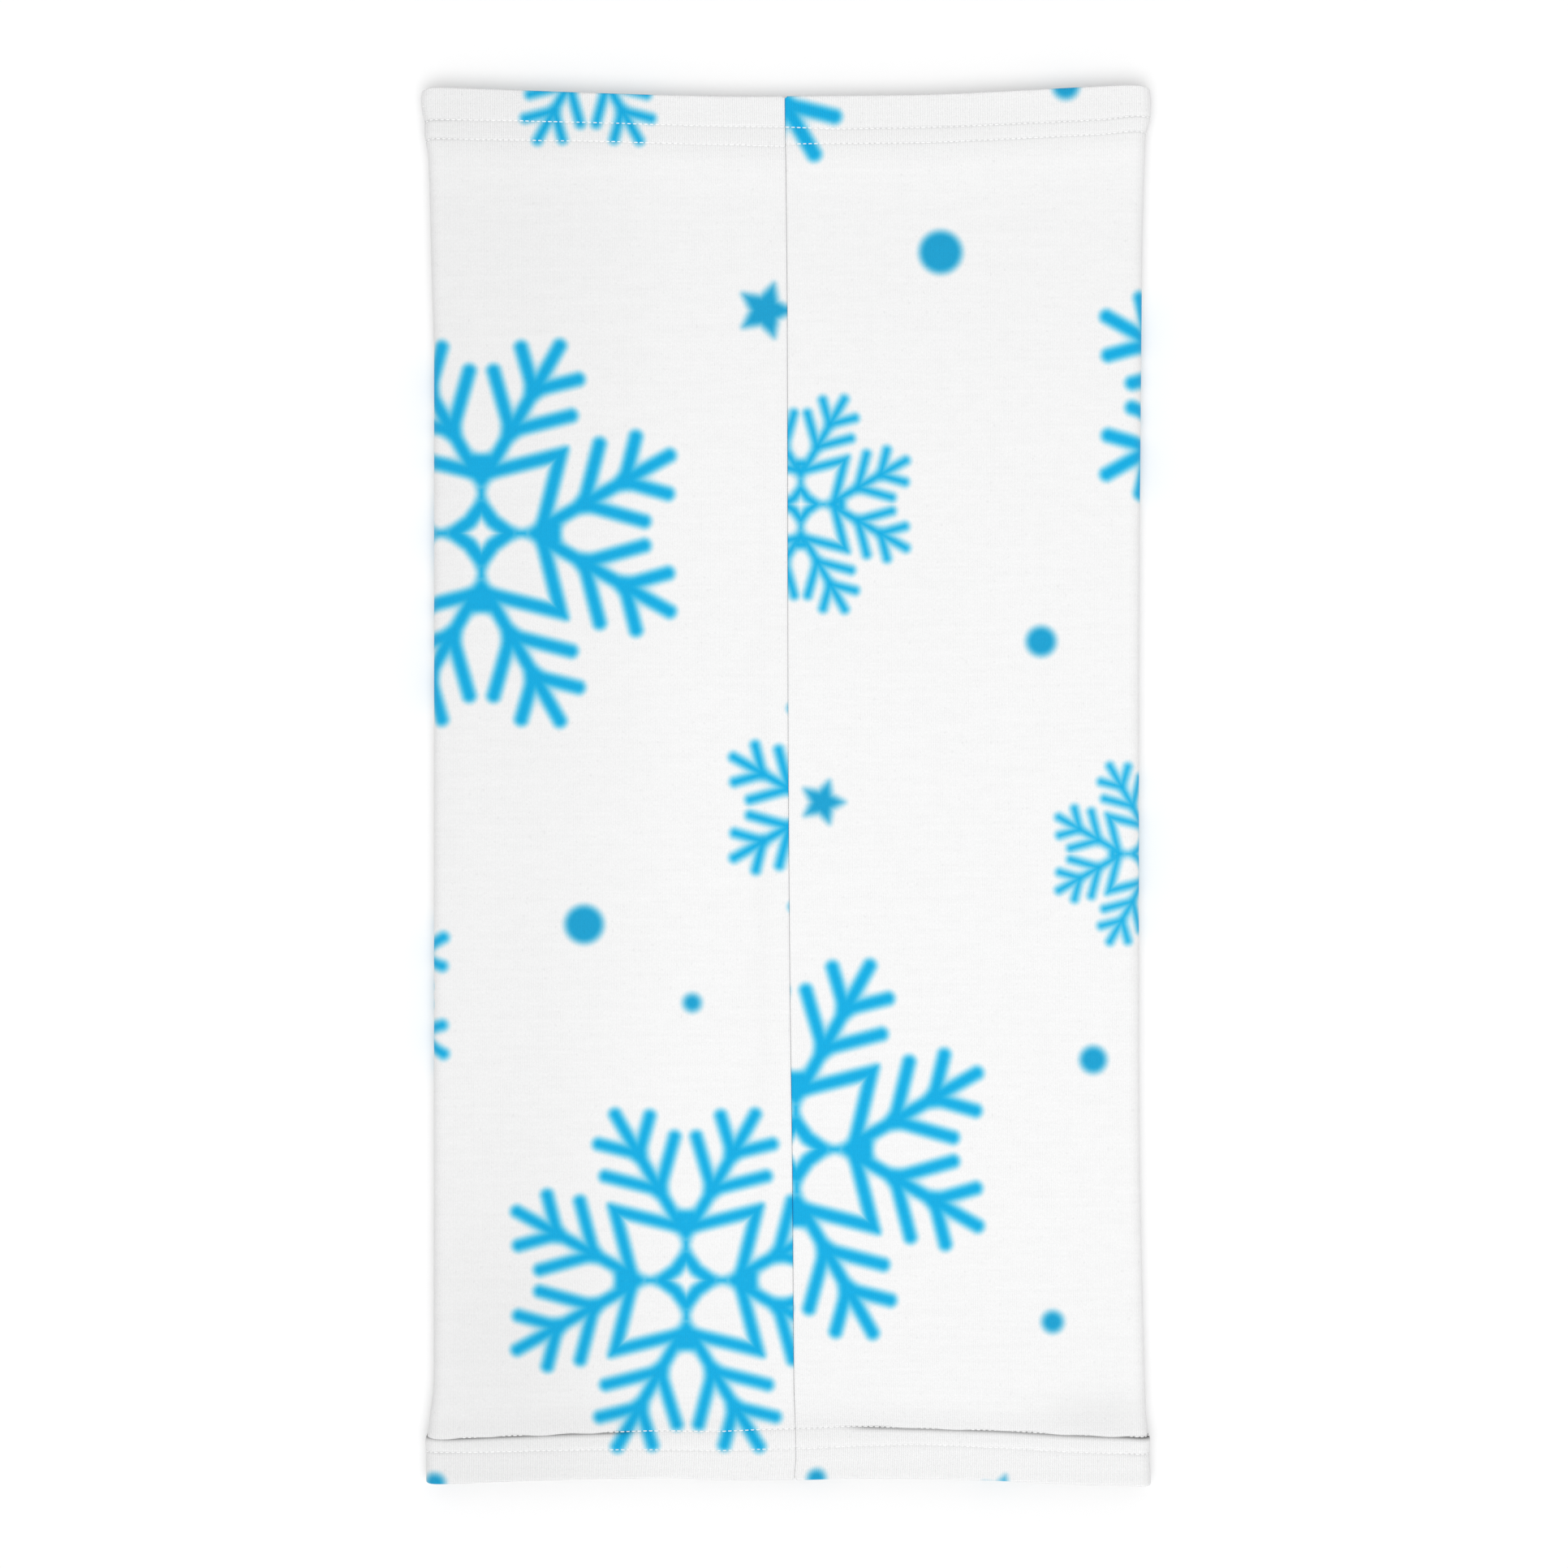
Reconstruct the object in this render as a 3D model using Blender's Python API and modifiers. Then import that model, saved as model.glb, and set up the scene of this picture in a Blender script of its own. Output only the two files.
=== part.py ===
"""Neck gaiter: one tube of printed jersey, laid flat, hemmed at both ends and seamed at the back.

Metres, +Z up. The gaiter lies on its front with the back seam upwards and its length along Y.
The origin is at the middle of its underside.

The cloth is one cut panel. Its side edges turn inside at the centre back and run on as two seam
allowances, both pressed towards -X, and its ends turn inside as hems. It is modelled as one open
surface along the middle of the cloth, which Solidify gives its thickness. Each sewing thread is a
piece of its own: needle threads are fine tubes, and looper threads are the flat nets that they
form, as wide as the stitch.
"""

import math

import bmesh
import bpy
from mathutils import Vector

# Laid flat
hemHalfWidth = 0.1290  # half the width at the hems
bodyHalfWidth = 0.1251  # half the width between them
halfLength = 0.2430  # fold to middle, at the centre of the width
endBow = 0.0030  # how much longer the sides are than the centre, at each end
loftHeight = 0.0100  # outside height of the flattened tube

# Cloth
clothThickness = 0.0006
plyGap = 0.0003  # between plies that are sewn together
foldSteps = 4  # segments in each half-round fold of the cloth

# Hems
firstNeedle = 0.0104  # needle lines, from the fold
secondNeedle = 0.0168
hemTurn = 0.0188  # depth of the turned ply, from the fold
ditchDepth = 0.00060  # how far each needle line pulls the cloth in
ditchHalfWidth = 0.0014

# Back seam
seamGap = 0.0004  # between the two edges where they meet
allowanceWidth = 0.0066
looperGap = 0.0007  # between the wall and the first allowance
seamSetback = 0.0016  # from a hem's turned edge to the start of the allowances
rightBendX = 0.0007  # where the right-hand edge turns down

# Threads
threadDiameter = 0.00026
threadClearance = 0.00020
looperMargin = 0.0006  # how far a looper net reaches past its needle lines
overlockNeedles = (-0.0025, -0.0047)  # X of the overlock's two needle lines

flatSteps = 4  # segments from the centre to a side fold
sideSteps = 8  # segments round a side fold
hemTaper = (0.030, 0.060, 0.100)  # stations from the fold where the width narrows to the body's

pitch = clothThickness + plyGap  # middle of one sewn ply to the middle of the next
foldRadius = pitch / 2
midRadius = (loftHeight - clothThickness) / 2  # side fold, at the middle of the outer ply


def clearScene():
    for thing in list(bpy.data.objects):
        bpy.data.objects.remove(thing, do_unlink=True)


def makeMaterial(name, colour, roughness):
    material = bpy.data.materials.new(name)
    material.use_nodes = True
    shader = material.node_tree.nodes["Principled BSDF"]
    shader.inputs["Base Color"].default_value = (*colour, 1.0)
    shader.inputs["Roughness"].default_value = roughness
    shader.inputs["Metallic"].default_value = 0.0
    return material


def smoothStep(value):
    value = min(max(value, 0.0), 1.0)
    return value * value * (3.0 - 2.0 * value)


def halfWidthAt(fromFold):
    """Half the laid width at a distance from the hem fold: wide at the hem, narrower beyond it."""
    narrowed = smoothStep((fromFold - hemTurn) / (hemTaper[-1] - hemTurn))
    return hemHalfWidth + (bodyHalfWidth - hemHalfWidth) * narrowed


def sectionPoint(side, along, halfWidth, inset):
    """A point of the flattened tube's section, from the centre back (along 0) to the centre front
    (along 1) on one side. Inset moves it inwards from the middle of the outer ply."""
    radius = midRadius - inset
    centreX = halfWidth - clothThickness / 2 - midRadius
    total = 2 * flatSteps + sideSteps
    step = along * total
    if step <= flatSteps:
        x, z = centreX * step / flatSteps, radius
    elif step >= flatSteps + sideSteps:
        x, z = centreX * (total - step) / flatSteps, -radius
    else:
        angle = math.pi * (step - flatSteps) / sideSteps
        x, z = centreX + radius * math.sin(angle), radius * math.cos(angle)
    return side * x, loftHeight / 2 + z


def ringStations():
    """The section's columns in order: left half from back to front, then right half to the back."""
    total = 2 * flatSteps + sideSteps
    left = [(-1, step / total) for step in range(total + 1)]
    right = [(1, step / total) for step in range(total - 1, -1, -1)]
    return left + right


def ditchAt(fromFold):
    """Depth of the needle ditches at a distance from the fold."""
    for needle in (firstNeedle, secondNeedle):
        if abs(fromFold - needle) < ditchHalfWidth / 2:
            return ditchDepth
    return 0.0


def hemRows():
    """(distance from the fold, inset) down one hem, from the turned ply's edge round the fold and
    back along the outer ply."""
    marks = [foldRadius, firstNeedle - ditchHalfWidth, firstNeedle, firstNeedle + ditchHalfWidth]
    marks += [secondNeedle - ditchHalfWidth, secondNeedle, secondNeedle + ditchHalfWidth, hemTurn]
    turned = [(mark, pitch + ditchAt(mark)) for mark in reversed(marks)]
    folded = []
    for step in range(1, foldSteps):
        angle = math.pi * step / foldSteps
        folded.append((foldRadius * (1 - math.sin(angle)), foldRadius * (1 + math.cos(angle))))
    outer = [(mark, ditchAt(mark)) for mark in marks]
    return turned + folded + outer


def endY(end, x, fromFold):
    """Y at a distance from an end's fold. The ends bow, and the bow fades towards the middle."""
    bow = endBow * (x / hemHalfWidth) ** 2
    fade = 1.0 - smoothStep(fromFold / halfLength)
    return end * (halfLength + bow * fade - fromFold)


def panelRows():
    """Every row of the panel from the top hem's turned edge to the bottom's:
    (end, distance from that fold, inset, whether the seam allowances run here)."""
    top = [(1, mark, inset, False) for mark, inset in hemRows()]
    bottom = [(-1, mark, inset, False) for mark, inset in reversed(hemRows())]
    seamStart = hemTurn + seamSetback
    nearTop = [(1, mark, 0.0, True) for mark in (seamStart, *hemTaper, (halfLength + hemTaper[-1]) / 2)]
    nearBottom = [(-1, mark, 0.0, True) for _, mark, _, _ in reversed(nearTop)]
    return top + nearTop + [(1, halfLength, 0.0, True)] + nearBottom + bottom


def leftAllowance():
    """(x, depth below the wall's middle) of the left-hand edge: a tight U-turn, then back to -X."""
    radius = (looperGap + clothThickness) / 2
    centreX = -seamGap / 2 - radius
    points = []
    for step in range(1, foldSteps + 1):
        angle = math.pi * step / foldSteps
        points.append((centreX + radius * math.sin(angle), radius * (1 - math.cos(angle))))
    points.append((-seamGap / 2 - allowanceWidth / 2, 2 * radius))
    points.append((-seamGap / 2 - allowanceWidth, 2 * radius))
    return points


def rightAllowance():
    """The same for the right-hand edge: it bends down and passes under the left-hand allowance."""
    depth = looperGap + clothThickness + pitch
    radius = foldRadius
    points = []
    for step in range(1, foldSteps // 2 + 1):
        angle = math.pi * step / foldSteps
        points.append((rightBendX + radius * (1 - math.sin(angle)), radius * (1 - math.cos(angle))))
    for step in range(foldSteps // 2 + 1):
        angle = math.pi * step / foldSteps
        points.append((rightBendX - radius * (1 - math.cos(angle)), depth - radius * (1 - math.sin(angle))))
    points.append((-seamGap / 2 - allowanceWidth / 2, depth))
    points.append((-seamGap / 2 - allowanceWidth, depth))
    return points


def wallEdgeX(side, hasAllowance):
    """X where a half of the wall stops at the centre back."""
    if not hasAllowance:
        return side * (seamGap / 2)
    if side < 0:
        return -seamGap / 2 - (looperGap + clothThickness) / 2
    return rightBendX + foldRadius


def finishObject(thing, material, collection, smoothAngle=30):
    collection.objects.link(thing)
    thing.data.materials.clear()
    thing.data.materials.append(material)
    if thing.type == "MESH":
        thing.data.shade_smooth()
        thing.data.set_sharp_from_angle(angle=math.radians(smoothAngle))
    return thing


def objectFromBmesh(name, mesh, material, collection):
    bmesh.ops.recalc_face_normals(mesh, faces=mesh.faces)
    data = bpy.data.meshes.new(name)
    mesh.to_mesh(data)
    mesh.free()
    return finishObject(bpy.data.objects.new(name, data), material, collection)


def buildPanel(material, collection):
    """The whole cloth panel, lofted row by row between its turned, folded and open stretches."""
    ring = ringStations()
    left, right = leftAllowance(), rightAllowance()
    mesh = bmesh.new()
    rows = []
    for end, mark, inset, hasAllowance in panelRows():
        halfWidth = halfWidthAt(mark)
        points = []
        for index, (side, along) in enumerate(ring):
            x, z = sectionPoint(side, along, halfWidth, inset)
            if index in (0, len(ring) - 1):
                x = wallEdgeX(side, hasAllowance)
            points.append((x, z))
        row = [mesh.verts.new((x, endY(end, x, mark), z)) for x, z in points]
        extra = {}
        if hasAllowance:
            top = points[0][1]
            for key, turn in (("left", left), ("right", right)):
                extra[key] = [mesh.verts.new((x, endY(end, x, mark), top - depth)) for x, depth in turn]
        rows.append((row, extra))
    for (row, extra), (nextRow, nextExtra) in zip(rows, rows[1:]):
        strips = [(row, nextRow)]
        if extra and nextExtra:
            strips.append(([row[0]] + extra["left"], [nextRow[0]] + nextExtra["left"]))
            strips.append(([row[-1]] + extra["right"], [nextRow[-1]] + nextExtra["right"]))
        for here, there in strips:
            for first in range(len(here) - 1):
                mesh.faces.new((here[first], here[first + 1], there[first + 1], there[first]))
    panel = objectFromBmesh("knit_panel", mesh, material, collection)
    wall = panel.modifiers.new("cloth thickness", "SOLIDIFY")
    wall.thickness = clothThickness
    wall.offset = 0.0
    wall.use_even_offset = True
    return panel


def threadTube(name, points, closed, material, collection):
    curve = bpy.data.curves.new(name, "CURVE")
    curve.dimensions = "3D"
    curve.bevel_depth = threadDiameter / 2
    curve.bevel_resolution = 0
    curve.use_fill_caps = not closed
    spline = curve.splines.new("POLY")
    spline.points.add(len(points) - 1)
    for point, place in zip(spline.points, points):
        point.co = (*place, 1.0)
    spline.use_cyclic_u = closed
    return finishObject(bpy.data.objects.new(name, curve), material, collection)


def hemRing(end, mark, inset):
    """Points right round the tube at a distance from a hem fold."""
    halfWidth = halfWidthAt(mark)
    points = []
    for side, along in ringStations()[:-1]:
        x, z = sectionPoint(side, along, halfWidth, inset)
        points.append(Vector((x, endY(end, x, mark), z)))
    return points


def hemNeedleThread(name, end, mark, material, collection):
    """A needle thread lies in the ditch that it pulls, just clear of the cloth."""
    inset = ditchDepth - clothThickness / 2 - threadClearance - threadDiameter / 2
    return threadTube(name, hemRing(end, mark, inset), True, material, collection)


def flatNet(name, lowEdge, highEdge, closed, material, collection):
    """A looper thread's net: a strip between two rows of points, as thick as the thread."""
    mesh = bmesh.new()
    low = [mesh.verts.new(point) for point in lowEdge]
    high = [mesh.verts.new(point) for point in highEdge]
    last = len(low) if closed else len(low) - 1
    for first in range(last):
        after = (first + 1) % len(low)
        mesh.faces.new((low[first], low[after], high[after], high[first]))
    net = objectFromBmesh(name, mesh, material, collection)
    wall = net.modifiers.new("thread thickness", "SOLIDIFY")
    wall.thickness = threadDiameter
    wall.offset = 0.0
    wall.use_even_offset = True
    return net


def hemLooperThread(name, end, material, collection):
    """The cover stitch's net lies inside, on the turned ply, from one needle line to the other."""
    inset = pitch + ditchDepth + clothThickness / 2 + threadClearance + threadDiameter / 2
    low = hemRing(end, firstNeedle - looperMargin, inset)
    high = hemRing(end, secondNeedle + looperMargin, inset)
    return flatNet(name, low, high, True, material, collection)


def seamStations():
    """(end, distance from the fold) along the back seam, just inside the ends of the allowances."""
    start = hemTurn + seamSetback + looperMargin
    return [(1, start), (1, hemTaper[1]), (1, halfLength), (-1, hemTaper[1]), (-1, start)]


def seamRun(x, depth):
    top = loftHeight - clothThickness / 2
    return [Vector((x, endY(end, x, mark), top - depth)) for end, mark in seamStations()]


def overlockNet(name, depth, material, collection):
    edge = -seamGap / 2 - allowanceWidth
    low = seamRun(edge, depth)
    high = seamRun(overlockNeedles[0] + looperMargin, depth)
    return flatNet(name, low, high, False, material, collection)


def main():
    clearScene()
    parts = bpy.data.collections.new("neck_gaiter")
    bpy.context.scene.collection.children.link(parts)
    cloth = makeMaterial("printed_jersey", (0.90, 0.91, 0.92), 0.85)
    thread = makeMaterial("sewing_thread", (0.93, 0.93, 0.93), 0.60)

    buildPanel(cloth, parts)
    for place, end in (("top", 1), ("bottom", -1)):
        hemNeedleThread(f"{place}_hem_outer_needle_thread", end, firstNeedle, thread, parts)
        hemNeedleThread(f"{place}_hem_inner_needle_thread", end, secondNeedle, thread, parts)
        hemLooperThread(f"{place}_hem_looper_thread", end, thread, parts)

    underWall = clothThickness / 2 + looperGap / 2
    underStack = looperGap + clothThickness + pitch + clothThickness / 2
    lowerLooper = underStack + threadClearance + threadDiameter / 2
    needleDepth = lowerLooper + threadDiameter + threadClearance
    overlockNet("back_seam_upper_looper_thread", underWall, thread, parts)
    overlockNet("back_seam_lower_looper_thread", lowerLooper, thread, parts)
    for order, x in zip(("first", "second"), overlockNeedles):
        run = seamRun(x, needleDepth)
        threadTube(f"back_seam_{order}_needle_thread", run, False, thread, parts)


main()
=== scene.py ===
import math

import bpy
import numpy as np
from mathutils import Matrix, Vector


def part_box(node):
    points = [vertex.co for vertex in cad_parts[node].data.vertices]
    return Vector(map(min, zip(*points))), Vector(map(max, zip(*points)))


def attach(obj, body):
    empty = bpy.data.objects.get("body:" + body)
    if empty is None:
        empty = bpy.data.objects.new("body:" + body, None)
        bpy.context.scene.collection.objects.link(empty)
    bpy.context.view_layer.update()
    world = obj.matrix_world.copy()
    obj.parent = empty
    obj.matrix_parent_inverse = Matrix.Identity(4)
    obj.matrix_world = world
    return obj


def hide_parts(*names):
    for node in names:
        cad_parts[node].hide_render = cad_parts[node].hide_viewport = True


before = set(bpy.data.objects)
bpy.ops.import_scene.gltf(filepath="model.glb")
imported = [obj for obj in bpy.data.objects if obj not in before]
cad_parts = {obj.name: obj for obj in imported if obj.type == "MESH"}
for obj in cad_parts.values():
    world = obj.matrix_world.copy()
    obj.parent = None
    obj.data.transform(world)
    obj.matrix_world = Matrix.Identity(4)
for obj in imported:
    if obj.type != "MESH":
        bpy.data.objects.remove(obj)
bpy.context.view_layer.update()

# Neck gaiter, laid on its front with the back seam up and its length along Y.
# Shapes are worked out in millimetres from the frame, and meshes are written in metres.
mm = 0.001


def report(text):
    print("gaiter:", text)


def addObject(name, data):
    made = bpy.data.objects.new(name, data)
    bpy.context.scene.collection.objects.link(made)
    return made


def nodeBox(name):
    low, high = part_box(name)
    return [c / mm for c in low], [c / mm for c in high]


clothHigh = nodeBox("knit_panel")[1]
topOfBox = clothHigh[2]
endOfBox = clothHigh[1]
halfPanel = endOfBox - 3.3  # fold to middle, at the centre of the width

cloth = {
    "thickness": 0.6,
    "plyPitch": 0.9,  # middle of one sewn ply to the middle of the next
    "printWidth": 510.0,  # round the tube, from the seam to the seam
    "sideRadius": 4.55,  # half-round folds at the sides
    "sag": 1.1,  # how far the back sinks between the side folds
    "headroom": 0.3,  # left under the top of the box
    "frontBow": 3.0,  # how much longer the front is at the sides than at its middle
    "backColumns": 120,
    "sideColumns": 14,
    "frontColumns": 122,
}

hem = {
    "outerNeedle": 10.4,  # from the fold
    "innerNeedle": 16.8,
    "turned": 18.8,
    "round": 1.4,  # cloth taken up by the fold itself
    "ditchDepth": 0.28,
    "ditchWidth": 0.5,
    "bunched": 0.9,  # how much deeper the ditches get at the sides
    "bunchFrom": 112,  # from the centre line, getting full over the next bunchOver
    "bunchOver": 10,
    "edgePuff": 0.15,  # between the fold and the outer needle line
    "bandPuff": 0.15,  # between the needle lines
    "gatherReach": 9,  # how far the gathers run past the hem
}

# Both ends, each list against mm from the centre line: the fold's distance in from the box, the needle
# lines' depths from the fold, how far the body rolls over the band and so how dark its painted crevice shadow
# is, and how dark the painted shade along the needle lines is
ends = {
    "top": {
        "sign": 1,
        "fold": [(-129, 1.1), (-125, 0.3), (-108, 0.8), (-77, 1.9), (-47, 2.8), (-15, 3.3),
                 (1, 3.2), (46, 2.8), (83, 1.3), (110, 0.0), (122, -0.5), (129, 0.0)],
        "outer": [(-127, 10.7), (-92, 10.1), (-58, 9.8), (-20, 9.9), (-2, 10.2), (19, 11.1),
                  (48, 10.9), (110, 11.1), (128, 10.0)],
        "inner": [(-127, 17.4), (-92, 16.9), (-58, 16.3), (-20, 16.4), (-2, 17.0), (2, 16.2),
                  (48, 16.2), (110, 16.2), (127, 15.4)],
        "rollOver": [(-129, 0.0), (129, 0.0)],
        # How strong the painted shade along the needle lines is
        "needleShadeAlong": [(-129, 4.5), (-122, 3.0), (-110, 1.2), (-95, 0.5), (10, 0.6), (24, 2.6),
                    (110, 2.6), (129, 3.2)],
    },
    "bottom": {
        "sign": -1,
        "fold": [(-129, 1.0), (-121, 1.1), (-99, 1.9), (-64, 2.8), (-42, 3.1), (-20, 2.2),
                 (3, 2.3), (26, 2.9), (46, 2.8), (74, 2.2), (101, 0.9), (119, 0.5), (128, 0.1)],
        "outer": [(-127, 10.6), (-99, 10.0), (-68, 9.8), (-42, 9.4), (-12, 10.3), (3, 10.5),
                  (26, 10.9), (46, 11.6), (70, 11.2), (92, 11.0), (128, 10.7)],
        "inner": [(-127, 16.1), (-118, 15.6), (-99, 15.7), (-68, 16.1), (-42, 16.1),
                  (-12, 17.2), (3, 17.6), (26, 17.9), (46, 17.4), (92, 17.2), (128, 17.0)],
        # How far the body rolls over the band, which also sets how dark the painted crevice shadow is
        "rollOver": [(-129, 1.0), (-66, 1.0), (-48, 0.0), (18, 0.0), (30, 0.7), (100, 0.8),
                     (120, 1.1), (129, 1.2)],
        # How strong the painted shade along the needle lines is
        "needleShadeAlong": [(-129, 2.5), (-118, 1.0), (-100, 0.6), (100, 0.6), (118, 1.5), (129, 3.5)],
    },
}

# Half widths against the distance along the panel from its middle
sides = {
    "left": [(-243, 127.6), (-233, 127.5), (-229, 127.9), (-226, 127.3), (-222, 126.6),
             (-206, 124.9), (147, 124.8), (181, 125.7), (222, 126.9), (226.2, 127.7),
             (229.5, 128.2), (232.6, 128.1), (236, 128.8), (241, 129.4), (243, 129.2)],
    "right": [(-243, 128.8), (-233, 128.3), (-228, 128.6), (-225, 127.6), (-206, 126.6),
              (-94, 124.6), (5, 124.6), (181, 125.7), (222, 126.8), (226, 127.0), (229, 127.8),
              (232.6, 128.6), (239, 128.9), (243, 128.4)],
}

seam = {
    "line": [(-243, 2.7), (-235, 3.2), (-209, 2.4), (-137, 1.9), (-66, 1.0), (20, 0.4),
             (163, 0.1), (220, -0.4), (243, -0.7)],
    "ridge": [(-130, 0), (-16, -0.1), (-10, -0.05), (-6.5, 0.34), (-3, 0.4), (1, 0.3), (3, 0.0),
              (8, -0.05), (130, 0)],  # how the wall rises over the allowances, across the width
    "ridgeStarts": 2,  # past the hem, full over the next ridgeGrows
    "ridgeGrows": 8,
    "startsAt": 20.4,  # from each fold, past which the allowances lie open
    "allowance": 6.6,
    "cutAllowance": 7.8,  # flat, with its turn
    "overDepth": 1.3,  # left edge's allowance, below the middle of the wall
    "underDepth": 2.2,  # right edge's
    "tuckDepth": 0.55,  # of both edges in the hems, which have no room for allowances
    # How an edge turns in: its distance from the seam line, then the turn's run and drop
    "turns": {"tucked": (0.3, 1.02, 0.42), "left": (0.26, 1.2, 0.42), "right": (0.36, 0.9, 0.38)},
}

# Slow swells of the back and gathers along the hems: length, direction in degrees, height, phase
swells = [(151, 20, 0.16, 0.3), (97, -35, 0.12, 1.9), (63, 75, 0.08, 4.1), (210, 90, 0.14, 2.2),
          (41, 10, 0.05, 5.0), (33, -60, 0.035, 0.9)]
gathers = [(11.3, 4, 0.07, 0.4), (7.1, -5, 0.05, 2.6), (5.3, 3, 0.035, 4.4), (17.9, -3, 0.06, 1.2)]

rollOver = {  # where the body's cloth rolls over the band, against the distance past the needles
    "reach": [(0, 0), (0.3, 0.42), (0.7, 0.8), (1.3, 1.0), (2.3, 0.85), (4, 0.45), (8, 0)],
    "lift": [(0, -0.4), (0.3, -0.05), (0.7, 0.35), (1.3, 0.52), (2.3, 0.55), (4, 0.42), (8, 0.2), (14, 0)],
    "waves": [(2.9, 0.25), (7.3, 0.2)],  # how uneven the lip is along the hem
    "tuckUnder": 0.35,  # how far the band's edge dips under the lip
}

paintedShading = {  # painted light and shade: how much lighter or darker the cloth's colour is painted, across the width and along the length
    "across": [(-129, -0.045), (-118, -0.05), (-100, -0.05), (-60, -0.025), (-37, -0.005), (0, 0),
               (110, 0.004)],
    "along": [(-246, 0.015), (-235, 0.04), (-222, 0.005), (-200, -0.005), (-150, 0.005), (0, 0.0),
              (100, -0.015), (200, -0.038), (218, -0.02), (235, 0.015), (246, 0.03)],
    "shadePatches": [(-105, -195, 45, 60, -0.045), (111, -221, 22, 8, -0.07), (-40, -222, 60, 12, -0.02),
                (-9, -60, 4, 110, -0.015), (-119, 60, 5, 130, -0.02)],  # middle, reach, then how much lighter, as patches of painted shade
    "needleShade": 0.05,  # how much darker the needle lines are painted, as painted shade
    "needleShadeWidth": 0.45,
    # Painted shadow in the crevice where the body rolls over the band: the share of colour it takes, and how
    # far it reaches on each side
    "creviceShade": 0.92,
    "creviceShadeWidths": {"body": 0.6, "band": 1.1},
}


def through(points, at):
    # A smooth line through the points that never overshoots them
    x, y = np.array(points, float).T
    step, slope = np.diff(x), np.diff(y) / np.diff(x)
    tangent = np.zeros(len(x))
    before, after = slope[:-1], slope[1:]
    turns = before * after <= 0
    tangent[1:-1] = np.where(turns, 0, 2 * before * after / np.where(turns, 1, before + after))
    at = np.clip(at, x[0], x[-1])
    i = np.clip(np.searchsorted(x, at, side="right") - 1, 0, len(step) - 1)
    t = (at - x[i]) / step[i]
    start = (1 + 2 * t) * (1 - t) ** 2 * y[i] + t * (1 - t) ** 2 * step[i] * tangent[i]
    finish = t * t * (3 - 2 * t) * y[i + 1] - t * t * (1 - t) * step[i] * tangent[i + 1]
    return start + finish


def ripple(x, y, waves):
    height = 0 * x
    for length, direction, amount, phase in waves:
        along = x * math.cos(math.radians(direction)) + y * math.sin(math.radians(direction))
        height = height + amount * np.sin(2 * math.pi * along / length + phase)
    return height


def bell(value, width):
    return np.exp(-((value / width) ** 2))


def ditchAt(x, fromFold):
    # The needle lines pull the cloth in, and more so where it bunches at the sides
    needles = bell(fromFold - hem["outerNeedle"], hem["ditchWidth"])
    needles = needles + bell(fromFold - hem["innerNeedle"], hem["ditchWidth"])
    bunched = 1 + hem["bunched"] * np.clip((abs(x) - hem["bunchFrom"]) / hem["bunchOver"], 0, 1)
    return hem["ditchDepth"] * needles * bunched


def puffAt(fromFold):
    edge = np.clip(fromFold / hem["outerNeedle"], 0, 1)
    band = (fromFold - hem["outerNeedle"]) / (hem["innerNeedle"] - hem["outerNeedle"])
    return (hem["edgePuff"] * np.sin(math.pi * edge) ** 0.6
            + hem["bandPuff"] * np.sin(math.pi * np.clip(band, 0, 1)) ** 0.6)


def backSurface(end, x, fromFold):
    # Y and height of the middle of the outer ply on the back
    sign = end["sign"]
    fold = endOfBox - through(end["fold"], x)
    outer, inner = through(end["outer"], x), through(end["inner"], x)
    marks = (hem["outerNeedle"], hem["innerNeedle"])
    if fromFold <= marks[0]:
        y = fold - outer * fromFold / marks[0]
    elif fromFold <= marks[1]:
        y = fold - outer - (inner - outer) * (fromFold - marks[0]) / (marks[1] - marks[0])
    else:
        y = (fold - inner) * (1 - (fromFold - marks[1]) / (halfPanel - marks[1]))
    beyond = fromFold - marks[1]
    uneven = 1 + sum(share * np.sin(x / length) for length, share in rollOver["waves"])
    rolled = through(end["rollOver"], x) * uneven
    if beyond >= 0:
        y = y + rolled * through(rollOver["reach"], beyond)
        lift = rolled * through(rollOver["lift"], beyond)
    else:
        lift = -rolled * rollOver["tuckUnder"] * bell(beyond, 0.4)
    across = np.clip(abs(x) / (clothHigh[0] - 2 * cloth["sideRadius"]), 0, 1)
    inside = 1 - across ** 4
    gathered = bell(max(beyond, 0), hem["gatherReach"]) if fromFold > 0 else 0
    level = topOfBox - cloth["thickness"] / 2 - cloth["headroom"]
    ridge = through(seam["ridge"], x) * np.clip((beyond - seam["ridgeStarts"]) / seam["ridgeGrows"], 0, 1)
    z = (level + ridge - cloth["sag"] * (1 - across ** 2) ** 1.5 + puffAt(fromFold) - ditchAt(x, fromFold)
         + lift + inside * (ripple(x, sign * y, swells) + gathered * ripple(x, y, gathers)))
    return sign * y, z


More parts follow.
